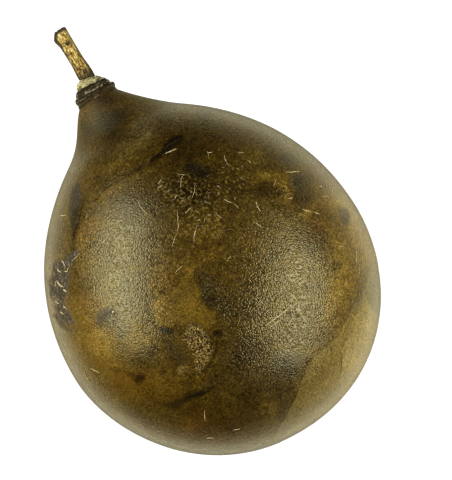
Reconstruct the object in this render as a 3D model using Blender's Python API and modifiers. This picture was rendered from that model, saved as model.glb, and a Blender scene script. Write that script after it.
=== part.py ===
"""Dried bottle gourd lying on its side, with its woody stem still on.

Metres, +Z up, +Y from the blossom end towards the stem. The origin is the centre of
the flat resting spot, straight below the widest section of the bulb.
"""

import math

import bpy
import bmesh
from mathutils import Vector
from mathutils.geometry import interpolate_bezier

# Fruit: half its outline in the plane through its axis, with y = 0 at the widest section.
BULB_RADIUS = 0.0788
BASE_LENGTH = 0.0773  # widest section to blossom end
SHOULDER = Vector((0.0317, 0.0869))  # where the outline turns from bulging to hollow
SHOULDER_SLANT = math.radians(55.4)  # the outline's lean from the axis there
NECK_RADIUS = 0.0100
NECK_LENGTH = 0.1090  # widest section to the end of the neck
NECK_SLANT = math.radians(42.7)
HEIGHT_SHARE = 0.98  # the bulb is slightly less tall than wide
REST_SINK = 0.0017  # how far the underside is flattened
AXIS_HEIGHT = BULB_RADIUS * HEIGHT_SHARE - REST_SINK
FRUIT_SIDES = 64

# The blossom end sits to one side, the neck leans to the other, and its end is not quite square.
BASE_SHIFT = 0.0016
NECK_SHIFT = Vector((-0.0021, 0.0, 0.0015))
NECK_BEND_START = 0.091
NECK_TILT = math.radians(3.0)
BOSS_RADIUS = 0.0083  # the raised middle of the neck's end, which locates the rim
BOSS_HEIGHT = 0.0010

# Rim, cushion and stem, stacked on the neck. Touching pieces keep this gap.
JOIN_GAP = 0.0003
RIM_RADIUS = 0.0105
RIM_HEIGHT = 0.0060
RIM_SHIFT = -0.0003
RIM_SIDES = 48
CUSHION_RADIUS = 0.0076
CUSHION_HEIGHT = 0.0056
CUSHION_SINK = 0.0010  # depth of its recess in the rim
CUSHION_SHIFT = 0.0003
CUSHION_SLANT = math.radians(11.0)  # its top slopes down towards +X
CUSHION_SIDES = 36
STEM_RADIUS = 0.0033
STEM_FOOT_RADIUS = 0.0038
STEM_LENGTH = 0.0262
STEM_SINK = 0.0013  # depth of its socket in the cushion
STEM_RIBS = 5
STEM_RIB_HEIGHT = 0.00022
STEM_TILT = math.radians(1.5)
STEM_CUT_SLANT = math.tan(math.radians(14.0))
STEM_SIDES = 40


def clear_scene():
    """Removes whatever the scene holds at the start."""
    for obj in list(bpy.data.objects):
        bpy.data.objects.remove(obj)


def make_material(name, colour, roughness):
    """A plain Principled material of one colour."""
    material = bpy.data.materials.new(name)
    material.use_nodes = True
    shader = material.node_tree.nodes["Principled BSDF"]
    shader.inputs["Base Color"].default_value = (*colour, 1.0)
    shader.inputs["Roughness"].default_value = roughness
    shader.inputs["Metallic"].default_value = 0.0
    return material


def ease(low, high, value):
    """Smooth step from 0 at low to 1 at high."""
    share = min(max((value - low) / (high - low), 0.0), 1.0)
    return share * share * (3.0 - 2.0 * share)


def slanted(angle):
    """Direction of an outline that closes in on the axis at this angle."""
    return Vector((-math.sin(angle), math.cos(angle)))


def bezier(start, handle_out, handle_in, end, points):
    """Points of one Bezier stretch, without its last point."""
    return interpolate_bezier(start, handle_out, handle_in, end, points + 1)[:-1]


def arc(centre, radii, from_deg, to_deg, points):
    """Points of an elliptic arc in the outline plane, ends included."""
    angles = [math.radians(from_deg + (to_deg - from_deg) * i / (points - 1)) for i in range(points)]
    return [Vector((centre[0] + radii[0] * math.cos(a), centre[1] + radii[1] * math.sin(a))) for a in angles]


def turn(name, outline, sides):
    """A closed mesh object: the outline, from axis to axis, turned about the Y axis."""
    mesh = bpy.data.meshes.new(name)
    edges = [(i, i + 1) for i in range(len(outline) - 1)]
    mesh.from_pydata([(p[0], p[1], 0.0) for p in outline], edges, [])
    blank = bpy.data.objects.new(name + "_outline", mesh)
    bpy.context.scene.collection.objects.link(blank)
    screw = blank.modifiers.new("Turn", "SCREW")
    screw.axis = "Y"
    screw.steps = screw.render_steps = sides
    screw.use_merge_vertices = True
    screw.merge_threshold = 0.00001
    graph = bpy.context.evaluated_depsgraph_get()
    turned = bpy.data.meshes.new_from_object(blank.evaluated_get(graph))
    bpy.data.objects.remove(blank)

    work = bmesh.new()
    work.from_mesh(turned)
    bmesh.ops.remove_doubles(work, verts=work.verts, dist=0.00001)
    bmesh.ops.recalc_face_normals(work, faces=work.faces)
    work.to_mesh(turned)
    work.free()
    turned.name = name
    turned.shade_smooth()
    return bpy.data.objects.new(name, turned)


def shape_vertices(obj, rule):
    """Moves every vertex of the object to where the rule puts it."""
    for vertex in obj.data.vertices:
        vertex.co = rule(vertex.co)
    obj.data.update()


def place(obj, collection, material, parent=None, location=(0, 0, 0), tilt=0.0):
    """Puts an object in the collection. A positive tilt leans its +Y towards +X."""
    collection.objects.link(obj)
    obj.data.materials.append(material)
    obj.parent = parent
    obj.location = location
    obj.rotation_euler = (0.0, 0.0, -tilt)
    return obj


def fruit_outline():
    """Blossom end, round the bulb, up the hollow neck and over the boss at its end."""
    base = Vector((0.0, -BASE_LENGTH))
    widest = Vector((BULB_RADIUS, 0.0))
    neck = Vector((NECK_RADIUS, NECK_LENGTH))
    into_shoulder = slanted(SHOULDER_SLANT)
    into_neck = slanted(NECK_SLANT)

    outline = bezier(base, base + Vector((0.0535, 0)), widest - Vector((0, 0.0315)), widest, 12)
    outline += bezier(widest, widest + Vector((0, 0.0445)), SHOULDER - into_shoulder * 0.0268, SHOULDER, 14)
    outline += bezier(SHOULDER, SHOULDER + into_shoulder * 0.0130, neck - into_neck * 0.0108, neck, 7)
    outline += arc(neck - Vector((0.0008, 0)), (0.0008, 0.0004), 0, 90, 3)
    boss_top = neck.y + 0.0004 + BOSS_HEIGHT
    outline += [Vector((BOSS_RADIUS + 0.0002, neck.y + 0.0004)), Vector((BOSS_RADIUS, boss_top)), Vector((0, boss_top))]
    return outline


def grow_fruit(point):
    """The turned fruit as it grew: uneven, leaning at the neck, and flat where it rests."""
    angle = math.atan2(point.z, point.x)
    along = point.y / BULB_RADIUS
    on_bulb = 1.0 - ease(SHOULDER.y, NECK_LENGTH, point.y)
    uneven = 0.0040 * math.sin(2.0 * angle) + 0.0035 * math.sin(3.0 * angle) * math.cos(1.7 * along + 0.6)
    swell = 1.0 + uneven * on_bulb
    bend = ease(NECK_BEND_START, NECK_LENGTH, point.y)
    cut = ease(SHOULDER.y, NECK_LENGTH - 0.002, point.y)
    flatten = 1.0 - (1.0 - HEIGHT_SHARE) * on_bulb

    x = point.x * swell + NECK_SHIFT.x * bend + BASE_SHIFT * ease(0.005, 0.070, -point.y)
    y = point.y - math.tan(NECK_TILT) * point.x * cut
    z = AXIS_HEIGHT + point.z * swell * flatten + NECK_SHIFT.z * bend
    return Vector((x, y, max(z, 0.0)))


def make_fruit(collection, material):
    fruit = turn("fruit", fruit_outline(), FRUIT_SIDES)
    shape_vertices(fruit, grow_fruit)
    return place(fruit, collection, material)


def rim_outline():
    """Two rolls, one over the other, dished below for the boss and above for the cushion."""
    recess = BOSS_RADIUS + JOIN_GAP
    lower_roll = arc((RIM_RADIUS - 0.0015, 0.0017), (0.0015, 0.0017), -90, 70, 6)
    upper_roll = arc((RIM_RADIUS - 0.0025, 0.0042), (0.0016, RIM_HEIGHT - 0.0042), -25, 90, 6)
    dish_radius = CUSHION_RADIUS + JOIN_GAP - 0.0002
    dish_floor = RIM_HEIGHT - CUSHION_SINK
    outline = [Vector((0, BOSS_HEIGHT)), Vector((recess, BOSS_HEIGHT)), Vector((recess + 0.0002, 0))]
    outline += lower_roll[1:]
    outline += upper_roll[:-1]
    outline += [Vector((dish_radius + 0.0002, RIM_HEIGHT)), Vector((dish_radius, dish_floor)), Vector((0, dish_floor))]
    return outline


def make_rim(collection, material, parent):
    """The dark, dried rolled rim between the fruit and the cushion."""
    rim = turn("rim", rim_outline(), RIM_SIDES)

    def wither(point):
        radius = math.hypot(point.x, point.z)
        edge = ease(BOSS_RADIUS + 0.0012, RIM_RADIUS, radius)
        angle = math.atan2(point.z, point.x)
        puff = 0.020 * math.sin(2.0 * angle + 2.2) + 0.014 * math.sin(5.0 * angle + 0.9)
        droop = 0.00030 * math.sin(3.0 * angle + 1.4) * edge
        return Vector((point.x * (1 + puff * edge), point.y + droop, point.z * (1 + puff * edge)))

    shape_vertices(rim, wither)
    return place(rim, collection, material, parent, (RIM_SHIFT, JOIN_GAP, 0))


def cushion_outline():
    """A pale corky dome with a shallow socket in its top for the stem."""
    socket = STEM_FOOT_RADIUS + 0.0003
    lip = socket + 0.0007
    foot = Vector((CUSHION_RADIUS - 0.0002, 0.0))
    brow = Vector((lip, CUSHION_HEIGHT))
    outline = [Vector((0, 0)), foot]
    outline += bezier(
        Vector((CUSHION_RADIUS - 0.0002, CUSHION_SINK)),
        Vector((CUSHION_RADIUS - 0.0002, 0.0024)),
        brow + Vector((0.0010, -0.0007)),
        brow,
        8,
    )
    floor = CUSHION_HEIGHT - STEM_SINK
    outline += [brow, Vector((socket, CUSHION_HEIGHT)), Vector((socket, floor)), Vector((0, floor))]
    return outline


def make_cushion(collection, material, parent):
    """The swollen corky foot of the stem."""
    cushion = turn("cushion", cushion_outline(), CUSHION_SIDES)

    def swell(point):
        angle = math.atan2(point.z, point.x)
        free = ease(CUSHION_SINK, 0.0030, point.y)
        body = free * (1.0 - ease(0.0050, CUSHION_HEIGHT, point.y))
        lump = 1.0 + body * (0.018 * math.sin(3.0 * angle + 0.4) + 0.012 * math.sin(7.0 * angle))
        return Vector((point.x * lump, point.y - math.tan(CUSHION_SLANT) * point.x * free, point.z * lump))

    shape_vertices(cushion, swell)
    seat = (CUSHION_SHIFT, RIM_HEIGHT - CUSHION_SINK + JOIN_GAP, 0)
    return place(cushion, collection, material, parent, seat)


def stem_outline():
    """A flared foot, a slim shank, and a cut end with a sunken pith."""
    end = STEM_LENGTH
    shank = Vector((STEM_RADIUS, 0.0110))
    tip = Vector((STEM_RADIUS + 0.00035, end - 0.0004))
    outline = [Vector((0, 0)), Vector((STEM_FOOT_RADIUS - 0.0002, 0))]
    foot_top = Vector((STEM_FOOT_RADIUS - 0.0001, STEM_SINK + 0.0002))
    outline += bezier(foot_top, foot_top + Vector((-0.0001, 0.003)), shank - Vector((0, 0.003)), shank, 6)
    outline += bezier(shank, shank + Vector((0, 0.007)), tip - Vector((0.0001, 0.004)), tip, 9)
    outline += [tip, Vector((STEM_RADIUS, end)), Vector((0.0021, end)), Vector((0.0013, end - 0.0007))]
    outline.append(Vector((0, end - 0.0009)))
    return outline


def make_stem(collection, material, parent):
    """The woody, ribbed stem, flared and cut on the slant at its free end."""
    stem = turn("stem", stem_outline(), STEM_SIDES)
    lean = -(STEM_TILT + NECK_TILT)
    foot_slant = CUSHION_SLANT - lean

    def rib(point):
        angle = math.atan2(point.z, point.x)
        free = ease(STEM_SINK, 0.0040, point.y)
        flare = ease(STEM_LENGTH - 0.0075, STEM_LENGTH - 0.0025, point.y)
        ridge = STEM_RIB_HEIGHT * math.cos(STEM_RIBS * angle + 28.0 * point.y + 0.5) * free
        side = 0.0009 * flare * max(0.0, -math.cos(angle))
        reach = math.hypot(point.x, point.z)
        grow = (ridge + side) * ease(0.0, STEM_RADIUS, reach)
        x = point.x + grow * math.cos(angle)
        z = point.z + grow * math.sin(angle)
        cut = STEM_CUT_SLANT * ease(STEM_LENGTH - 0.0080, STEM_LENGTH, point.y)
        foot = math.tan(foot_slant) * (1.0 - ease(STEM_SINK, 0.0080, point.y))
        return Vector((x, point.y + (cut - foot) * point.x, z))

    shape_vertices(stem, rib)
    seat = (-0.0002, CUSHION_HEIGHT - STEM_SINK + JOIN_GAP, 0)
    return place(stem, collection, material, parent, seat, lean)


def make_neck_seat(collection):
    """An empty at the neck's end, which the rim, cushion and stem are placed from."""
    seat = bpy.data.objects.new("neck_seat", None)
    collection.objects.link(seat)
    seat.empty_display_size = 0.02
    seat.location = (NECK_SHIFT.x, NECK_LENGTH + 0.0004, AXIS_HEIGHT + NECK_SHIFT.z)
    seat.rotation_euler = (0.0, 0.0, -NECK_TILT)
    return seat


def main():
    clear_scene()
    collection = bpy.data.collections.new("bottle_gourd")
    bpy.context.scene.collection.children.link(collection)
    rind = make_material("rind", (0.13, 0.075, 0.022), 0.42)
    bark = make_material("rim_bark", (0.075, 0.050, 0.030), 0.60)
    cork = make_material("cork", (0.50, 0.42, 0.20), 0.85)
    wood = make_material("stem_wood", (0.32, 0.20, 0.07), 0.75)

    make_fruit(collection, rind)
    seat = make_neck_seat(collection)
    rim = make_rim(collection, bark, seat)
    cushion = make_cushion(collection, cork, rim)
    make_stem(collection, wood, cushion)


main()
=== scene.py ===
import math

import bpy
import numpy as np
from mathutils import Matrix, Vector, noise
from mathutils.geometry import interpolate_bezier


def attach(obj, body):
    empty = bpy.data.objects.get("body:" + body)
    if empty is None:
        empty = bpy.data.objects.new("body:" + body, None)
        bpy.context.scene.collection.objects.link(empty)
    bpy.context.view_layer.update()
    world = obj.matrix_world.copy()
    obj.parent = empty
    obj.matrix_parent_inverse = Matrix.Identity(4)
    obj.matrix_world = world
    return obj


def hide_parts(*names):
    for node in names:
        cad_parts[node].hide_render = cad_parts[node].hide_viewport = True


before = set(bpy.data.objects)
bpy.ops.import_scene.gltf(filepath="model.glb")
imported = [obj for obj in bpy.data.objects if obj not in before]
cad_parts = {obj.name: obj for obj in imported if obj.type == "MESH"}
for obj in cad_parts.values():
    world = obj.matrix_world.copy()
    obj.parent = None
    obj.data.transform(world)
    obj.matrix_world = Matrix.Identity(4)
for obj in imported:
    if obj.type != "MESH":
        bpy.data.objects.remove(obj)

for name in ("Cube", "Camera", "Light"):  # the start file's own objects
    if name in bpy.data.objects:
        bpy.data.objects.remove(bpy.data.objects[name])
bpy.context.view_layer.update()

mm = 0.001
toMillimetres = (1000, 1000, 1000)


# Node boards: maths on sockets is written as plain expressions.

class Wire:
    def __init__(self, board, socket):
        self.board = board
        self.socket = socket

    def maths(self, operation, first, second=0.0, third=0.0):
        return self.board.node("ShaderNodeMath", {"operation": operation}, {0: first, 1: second, 2: third})

    def __add__(self, other):
        return self.maths("ADD", self, other)

    def __radd__(self, other):
        return self.maths("ADD", other, self)

    def __sub__(self, other):
        return self.maths("SUBTRACT", self, other)

    def __rsub__(self, other):
        return self.maths("SUBTRACT", other, self)

    def __mul__(self, other):
        return self.maths("MULTIPLY", self, other)

    def __rmul__(self, other):
        return self.maths("MULTIPLY", other, self)

    def __truediv__(self, other):
        return self.maths("DIVIDE", self, other)

    def __rtruediv__(self, other):
        return self.maths("DIVIDE", other, self)

    def sine(self):
        return self.maths("SINE", self)

    def cosine(self):
        return self.maths("COSINE", self)

    def power(self, exponent):
        return self.maths("POWER", self, exponent)

    def size(self):
        return self.maths("ABSOLUTE", self)

    def atLeast(self, low):
        return self.maths("MAXIMUM", self, low)

    def atMost(self, high):
        return self.maths("MINIMUM", self, high)

    def held(self):  # between 0 and 1
        return self.atLeast(0.0).atMost(1.0)

    def ease(self, low, high):  # smooth step, from 0 at low to 1 at high
        sockets = {0: self, 1: low, 2: high}
        return self.board.node("ShaderNodeMapRange", {"interpolation_type": "SMOOTHSTEP"}, sockets)

    def part(self, index):  # one part of a vector
        return self.board.node("ShaderNodeSeparateXYZ", None, {0: self}, index)


class Board:
    def __init__(self, tree):
        self.tree = tree

    def node(self, kind, settings=None, sockets=None, out=0):
        made = self.tree.nodes.new(kind)
        for name, value in (settings or {}).items():
            if name == "stops":
                self.fillRamp(made.color_ramp, value)
            else:
                setattr(made, name, value)
        for key, value in (sockets or {}).items():
            if isinstance(value, Wire):
                self.tree.links.new(value.socket, made.inputs[key])
            else:
                made.inputs[key].default_value = value
        return Wire(self, made.outputs[out])

    def fillRamp(self, ramp, stops):
        ramp.elements.remove(ramp.elements[1])
        ramp.elements[0].position = stops[0][0]
        ramp.elements[0].color = (*stops[0][1], 1.0)
        for position, colour in stops[1:]:
            ramp.elements.new(position).color = (*colour, 1.0)

    def mix(self, share, first, second, way="MIX"):
        colours = {0: share}
        for key, colour in ((6, first), (7, second)):
            colours[key] = colour if isinstance(colour, Wire) else (*colour, 1.0)
        return self.node("ShaderNodeMix", {"data_type": "RGBA", "blend_type": way}, colours, 2)

    def tinted(self, colour, tint):
        return self.mix(1.0, colour, tint, "MULTIPLY")

    def ramp(self, stops, share):
        return self.node("ShaderNodeValToRGB", {"stops": stops}, {0: share})

    def vector(self, x, y, z):
        return self.node("ShaderNodeCombineXYZ", None, {0: x, 1: y, 2: z})

    def grey(self, shade):
        return self.vector(shade, shade, shade)

    def stretch(self, place, scale):
        return self.node("ShaderNodeVectorMath", {"operation": "MULTIPLY"}, {0: place, 1: scale})

    def noise(self, place, pitch, detail=2.0, rough=0.5, twist=0.0, out=0):  # pitch in mm
        sockets = {"Vector": place, "Scale": 1 / pitch, "Detail": detail, "Roughness": rough,
                   "Distortion": twist}
        return self.node("ShaderNodeTexNoise", None, sockets, out)

    def cells(self, place, pitch):  # distance from the nearest cell's middle
        return self.node("ShaderNodeTexVoronoi", None, {"Vector": place, "Scale": 1 / pitch})


class Surface(Board):  # a material's board
    def __init__(self, name, roughness, gloss=(1.0, 1.0, 1.0), ior=1.5, mirror=0.5):
        self.material = bpy.data.materials.new(name)
        self.material.use_nodes = True
        super().__init__(self.material.node_tree)
        self.shader = self.tree.nodes["Principled BSDF"]
        self.set("Roughness", roughness)
        self.set("IOR", ior)
        self.set("Specular IOR Level", mirror)
        self.set("Specular Tint", (*gloss, 1.0))
        self.place = self.stretch(self.node("ShaderNodeTexCoord", None, None, "Object"), toMillimetres)

    def set(self, name, value):
        self.shader.inputs[name].default_value = value

    def field(self, name):
        return self.node("ShaderNodeAttribute", {"attribute_name": name}, None, "Fac")

    def feed(self, name, wire):
        self.tree.links.new(wire.socket, self.shader.inputs[name])

    def bump(self, height):  # height in millimetres
        relief = self.node("ShaderNodeBump", None, {"Strength": 1.0, "Distance": mm, "Height": height})
        self.feed("Normal", relief)


class Growth(Board):  # a Geometry Nodes board, used once and turned into a plain mesh
    def __init__(self, name):
        super().__init__(bpy.data.node_groups.new(name, "GeometryNodeTree"))
        self.tree.interface.new_socket(name="Geometry", in_out="INPUT", socket_type="NodeSocketGeometry")
        self.tree.interface.new_socket(name="Geometry", in_out="OUTPUT", socket_type="NodeSocketGeometry")
        self.entry = self.tree.nodes.new("NodeGroupInput")
        self.exit = self.tree.nodes.new("NodeGroupOutput")
        self.start = Wire(self, self.entry.outputs[0])
        self.asked = {}  # the named inputs' values

    def ask(self, name, kind, value):
        item = self.tree.interface.new_socket(name=name, in_out="INPUT", socket_type="NodeSocket" + kind)
        self.asked[item.identifier] = value
        return Wire(self, self.entry.outputs[name])

    def end(self, geometry, material):
        real = self.node("GeometryNodeRealizeInstances", None, {0: geometry})
        dressed = self.node("GeometryNodeSetMaterial", None, {"Geometry": real, "Material": material})
        self.tree.links.new(dressed.socket, self.exit.inputs[0])

    def field(self, name):
        return self.node("GeometryNodeInputNamedAttribute", {"data_type": "FLOAT"}, {"Name": name})

    def position(self):
        return self.node("GeometryNodeInputPosition")

    def place(self):  # the position in millimetres
        return self.stretch(self.position(), toMillimetres)

    def moved(self, geometry, place):
        return self.node("GeometryNodeSetPosition", None, {0: geometry, 2: place})

    def pushed(self, geometry, way):
        return self.node("GeometryNodeSetPosition", None, {0: geometry, 3: way})

    def scaled(self, way, share):
        return self.node("ShaderNodeVectorMath", {"operation": "SCALE"}, {0: way, "Scale": share})

    def random(self, low, high, seed):
        settings = {"data_type": "FLOAT"}
        return self.node("FunctionNodeRandomValue", settings, {2: low, 3: high, "Seed": seed}, 1)

    def grow(self, source, name):
        modifier = source.modifiers.new("Growth", "NODES")
        modifier.node_group = self.tree
        for identifier, value in self.asked.items():
            modifier[identifier] = value
        graph = bpy.context.evaluated_depsgraph_get()
        mesh = bpy.data.meshes.new_from_object(source.evaluated_get(graph))
        bpy.data.objects.remove(source)
        mesh.name = name
        return addObject(name, mesh)


def addObject(name, data):
    made = bpy.data.objects.new(name, data)
    bpy.context.scene.collection.objects.link(made)
    return made


# Turned pieces: an outline of (radius, along) points is turned about +Y, then a rule places each point.

def slanted(degrees):
    return Vector((-math.sin(math.radians(degrees)), math.cos(math.radians(degrees))))


def bezier(start, handleOut, handleIn, end, points):
    return interpolate_bezier(start, handleOut, handleIn, end, points + 1)[:-1]


def arc(centre, radii, fromDegrees, toDegrees, points):
    turns = [math.radians(fromDegrees + (toDegrees - fromDegrees) * i / (points - 1)) for i in range(points)]
    return [Vector((centre[0] + radii[0] * math.cos(a), centre[1] + radii[1] * math.sin(a))) for a in turns]


def turned(name, outline, settings, rule, relief, material):
    board = Growth(name + " growth")
    columns = board.ask("Sides", "Int", settings["sides"]) + 1
    rows = board.ask("Rings", "Int", settings["rings"])
    sheet = board.node("GeometryNodeMeshGrid", None, {0: 1.0, 1: 1.0, 2: columns, 3: rows})
    place = board.position()
    angle = (0.5 - place.part(0)) * (2 * math.pi)
    curve = board.node("GeometryNodeMeshToCurve", None, {0: board.start})
    sample = {"Curves": curve, "Factor": place.part(1) + 0.5}
    edge = board.node("GeometryNodeSampleCurve", {"mode": "FACTOR"}, sample, "Position")
    grown = rule(board, angle, edge.part(0), edge.part(1))
    form = board.moved(sheet, grown)
    closed = board.node("GeometryNodeMergeByDistance", None, {0: form, "Distance": 0.01 * mm})
    shaped = board.pushed(closed, board.scaled(board.node("GeometryNodeInputNormal"), relief(board)))
    board.end(board.node("GeometryNodeSetShadeSmooth", None, {0: shaped}), material)
    edges = [(i, i + 1) for i in range(len(outline) - 1)]
    mesh = bpy.data.meshes.new(name + " outline")
    mesh.from_pydata([(p[0], p[1], 0.0) for p in outline], edges, [])
    return board.grow(addObject(name + " outline", mesh), name)


# The fruit

gourd = {
    "bulbRadius": 0.0788,
    "baseLength": 0.0773,
    "shoulder": Vector((0.0317, 0.0869)),
    "shoulderSlant": 55.4,
    "neckRadius": 0.0100,
    "neckLength": 0.1090,
    "neckSlant": 42.7,
    "heightShare": 0.98,
    "restSink": 0.0017,
    "baseShift": 0.0016,
    "neckShift": Vector((-0.0021, 0.0, 0.0015)),
    "neckBendStart": 0.091,
    "neckTilt": math.radians(3.0),
    "endEdge": (0.0008, 0.0004),  # the rounded edge of the raised end face
    "baseHandle": 0.0535,  # lengths of the outline's handles
    "widestHandles": (0.0315, 0.0445),
    "shoulderHandles": (0.0268, 0.0130),
    "neckHandle": 0.0108,
    "unevenness": (0.0040, 0.0035),  # two and three swellings round the bulb
    "sides": 420,
    "rings": 232,
    "dents": 0.30 * mm,  # broad unevenness of the dried rind, all of it inwards
    "lumps": 0.05 * mm,
}
axisHeight = gourd["bulbRadius"] * gourd["heightShare"] - gourd["restSink"]


def gourdOutline():
    base = Vector((0.0, -gourd["baseLength"]))
    widest = Vector((gourd["bulbRadius"], 0.0))
    shoulder = gourd["shoulder"]
    neck = Vector((gourd["neckRadius"], gourd["neckLength"]))
    intoShoulder = slanted(gourd["shoulderSlant"])
    intoNeck = slanted(gourd["neckSlant"])
    below, above = (Vector((0, length)) for length in gourd["widestHandles"])
    before, after = (intoShoulder * length for length in gourd["shoulderHandles"])
    edge = gourd["endEdge"]
    outline = bezier(base, base + Vector((gourd["baseHandle"], 0)), widest - below, widest, 60)
    outline += bezier(widest, widest + above, shoulder - before, shoulder, 60)
    outline += bezier(shoulder, shoulder + after, neck - intoNeck * gourd["neckHandle"], neck, 24)
    outline += arc(neck - Vector((edge[0], 0)), edge, 0, 90, 4)
    outline.append(Vector((0, neck.y + edge[1])))
    return outline


def gourdRule(board, angle, radius, along):
    onBulb = 1 - along.ease(gourd["shoulder"].y, gourd["neckLength"])
    share = along * (1 / gourd["bulbRadius"])
    double, triple = gourd["unevenness"]
    uneven = (angle * 2).sine() * double + (angle * 3).sine() * (share * 1.7 + 0.6).cosine() * triple
    swell = uneven * onBulb + 1
    bend = along.ease(gourd["neckBendStart"], gourd["neckLength"])
    cut = along.ease(gourd["shoulder"].y, gourd["neckLength"] - 0.002)
    flatten = 1 - onBulb * (1 - gourd["heightShare"])
    across = angle.cosine() * radius
    baseShare = (-1 * along).ease(0.005, 0.070)
    x = across * swell + bend * gourd["neckShift"].x + baseShare * gourd["baseShift"]
    y = along - across * cut * math.tan(gourd["neckTilt"])
    z = angle.sine() * radius * swell * flatten + bend * gourd["neckShift"].z + axisHeight
    return board.vector(x, y, z.atLeast(0.0))


def gourdRelief(board):
    place = board.place()
    dents = board.noise(place, 34, 1.5)
    lumps = board.noise(place, 5, 2.0)
    clearOfRest = place.part(2).ease(0.3, 4.0)
    depth = board.ask("Dent depth", "Float", gourd["dents"]) * dents
    depth = depth + board.ask("Lump depth", "Float", gourd["lumps"]) * lumps
    return depth * clearOfRest * -1


# The camera looks straight down. Marks are placed as it sees them, on the level of the fruit's axis.

sight = {
    "lens": 200.0,
    "frameHeight": 0.2293,
    "centre": Vector((0.0169, 0.0199, axisHeight)),
    "right": Vector((0.8660, -0.5, 0.0)),
    "up": Vector((0.5, 0.8660, 0.0)),
}
sensorWidth = 36.0
sightHeight = sight["frameHeight"] * sight["lens"] / sensorWidth
eye = sight["centre"] + Vector((0, 0, sightHeight))


def seenPlan(points):  # where points in mm appear, on the axis level
    away = sightHeight * 1000 / (eye.z * 1000 - points[:, 2])
    middle = np.array(sight["centre"])[:2] * 1000
    return middle + (points[:, :2] - middle) * away[:, None]


def onTop(target, x, y):  # the place on a piece that appears at (x, y) in mm
    way = Vector((x * mm, y * mm, axisHeight)) - eye
    hit, place = target.ray_cast(eye, way.normalized())[:2]
    return place if hit else Vector((x * mm, y * mm, axisHeight))


# Marks on the rind, as seen from above: places and half sizes in mm, turns in degrees from +X.
# A mark adds its amounts to fields: tone (dark to light), hue (grey-green to red-brown), grain, scab,
# crust, scuff (how many scratches) and depth (mm).

fieldNames = ("tone", "hue", "grain", "scab", "crust", "scuff", "depth")

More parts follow.
